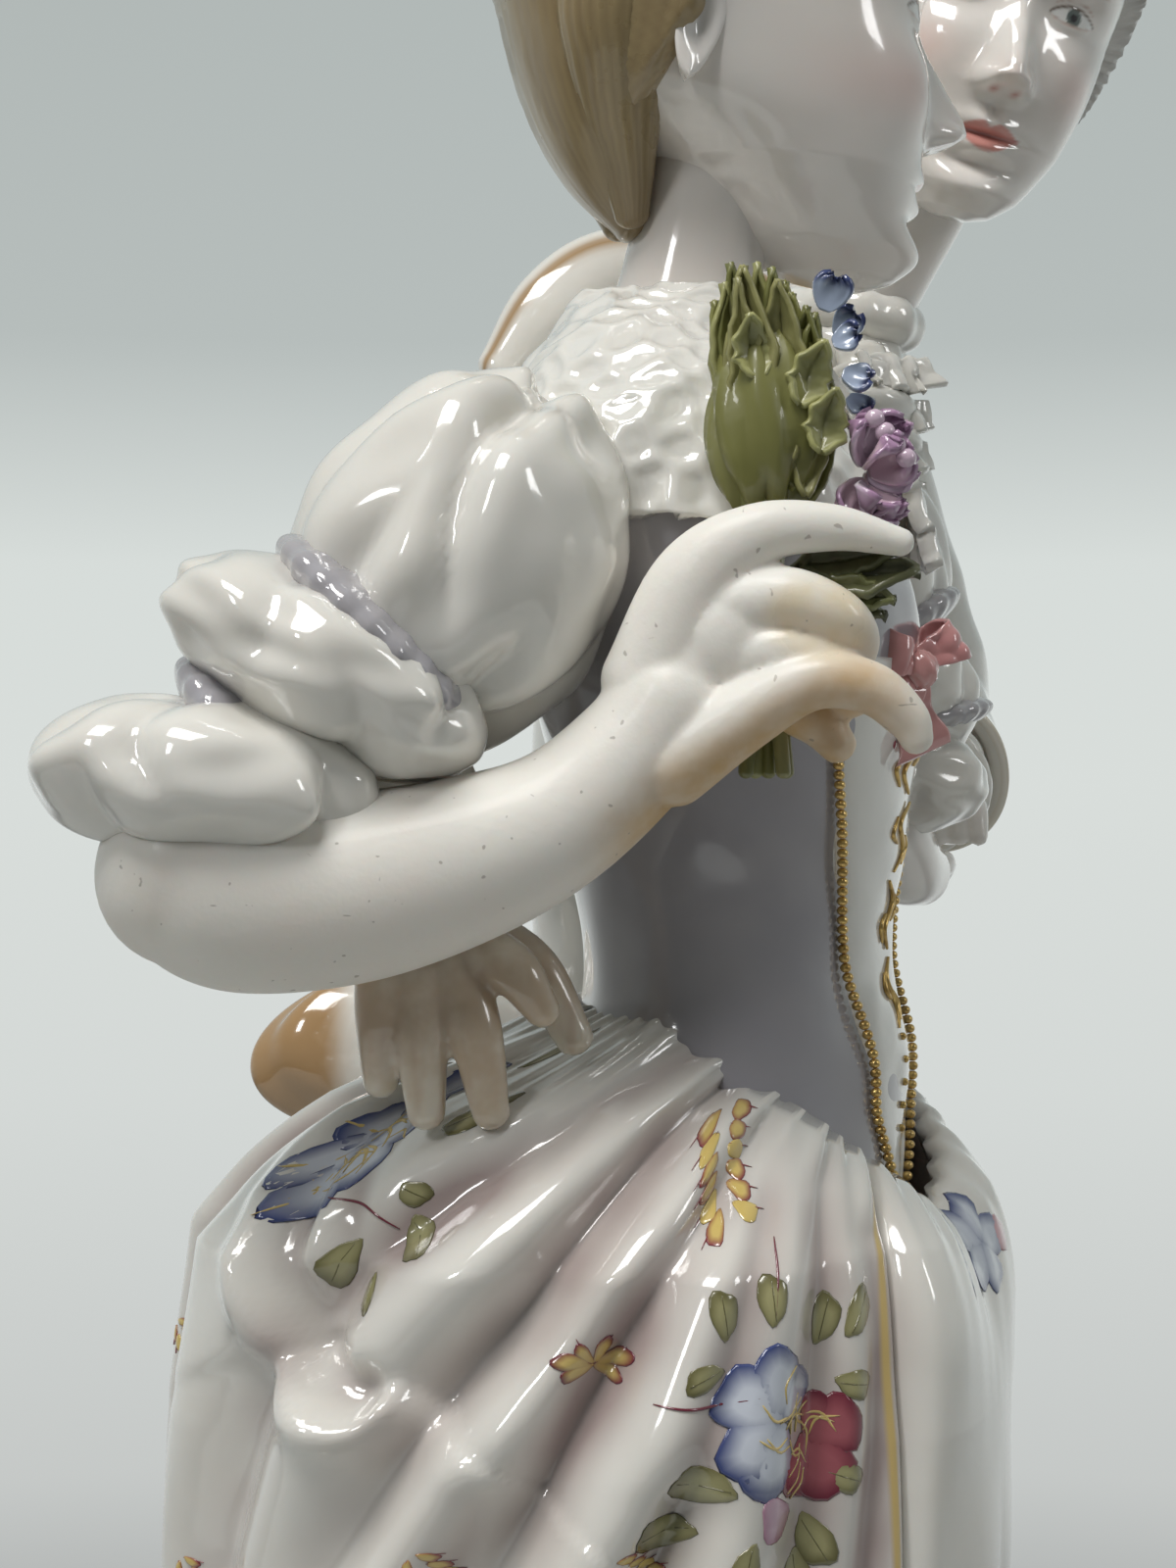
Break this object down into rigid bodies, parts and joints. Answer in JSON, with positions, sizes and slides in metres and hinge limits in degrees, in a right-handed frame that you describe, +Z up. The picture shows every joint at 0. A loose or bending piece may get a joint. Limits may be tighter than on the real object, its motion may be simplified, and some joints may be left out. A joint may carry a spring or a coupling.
{
  "type": "porcelain figurine of a couple",
  "caption": "Glazed porcelain group of a lady holding a posy and a gentleman behind her, in old-time dress, on a scrolled oval base; stands on a flat underside.",
  "frame": {"origin": "centre of the flat underside of the base", "axes": "+Z up, +X the way the couple walk, +Y from the lady towards the gentleman"},
  "size_m": [0.0948, 0.0824, 0.184],
  "materials": {
    "blue_enamel": "gloss",
    "brown_enamel": "gloss",
    "brown_hair": "satin, combed",
    "dark_enamel": "gloss",
    "flesh_bisque": "matte, slightly stained",
    "flesh_glaze": "gloss, faintly tinted",
    "gilding": "burnished gold",
    "lavender_enamel": "gloss",
    "olive_enamel": "satin",
    "pink_enamel": "gloss",
    "plum_enamel": "gloss",
    "powdered_wig": "satin, combed",
    "rose_enamel": "satin",
    "white_glaze": "gloss, hand-painted sprigs"
  },
  "bodies": {
    "root": {"base_flowers": "pink_enamel", "base_leaves": "olive_enamel", "base_plinth": "white_glaze", "base_scrolls": "gilding", "bouquet_blue_flower": "blue_enamel", "bouquet_leaves": "olive_enamel", "bouquet_lower_leaf": "olive_enamel", "bouquet_pink_flower": "pink_enamel", "bouquet_stem": "olive_enamel", "lady_bodice": "lavender_enamel", "lady_bow": "rose_enamel", "lady_fichu": "white_glaze", "lady_hair": "brown_hair", "lady_hair_bun": "brown_hair", "lady_head": "flesh_glaze", "lady_left_forearm": "flesh_glaze", "lady_left_sleeve_bands": "lavender_enamel", "lady_left_sleeve_lower": "white_glaze", "lady_left_sleeve_middle": "white_glaze", "lady_left_sleeve_upper": "white_glaze", "lady_neck": "flesh_glaze", "lady_overskirt_left": "white_glaze", "lady_overskirt_right": "white_glaze", "lady_right_forearm": "flesh_bisque", "lady_right_sleeve_bands": "lavender_enamel", "lady_right_sleeve_lower": "white_glaze", "lady_right_sleeve_middle": "white_glaze", "lady_right_sleeve_upper": "white_glaze", "lady_shoes": "rose_enamel", "lady_stomacher": "white_glaze", "lady_underskirt": "white_glaze", "man_breeches": "plum_enamel", "man_coat": "white_glaze", "man_coat_collar": "white_glaze", "man_coat_skirts": "white_glaze", "man_head": "flesh_glaze", "man_jabot": "white_glaze", "man_left_cuff": "white_glaze", "man_left_hand": "flesh_glaze", "man_left_ruffle": "white_glaze", "man_left_shoe": "dark_enamel", "man_left_sleeve": "white_glaze", "man_left_stocking": "white_glaze", "man_neck": "flesh_glaze", "man_neckcloth": "white_glaze", "man_right_cuff": "white_glaze", "man_right_hand": "flesh_glaze", "man_right_shoe": "dark_enamel", "man_right_sleeve": "white_glaze", "man_right_stocking": "white_glaze", "man_waistcoat": "white_glaze", "man_wig": "powdered_wig", "man_wig_queue": "powdered_wig", "queue_ribbon": "dark_enamel", "shoe_buckles": "gilding", "tree_stump": "brown_enamel", "waistcoat_buttons": "gilding"}
  },
  "joints": []
}
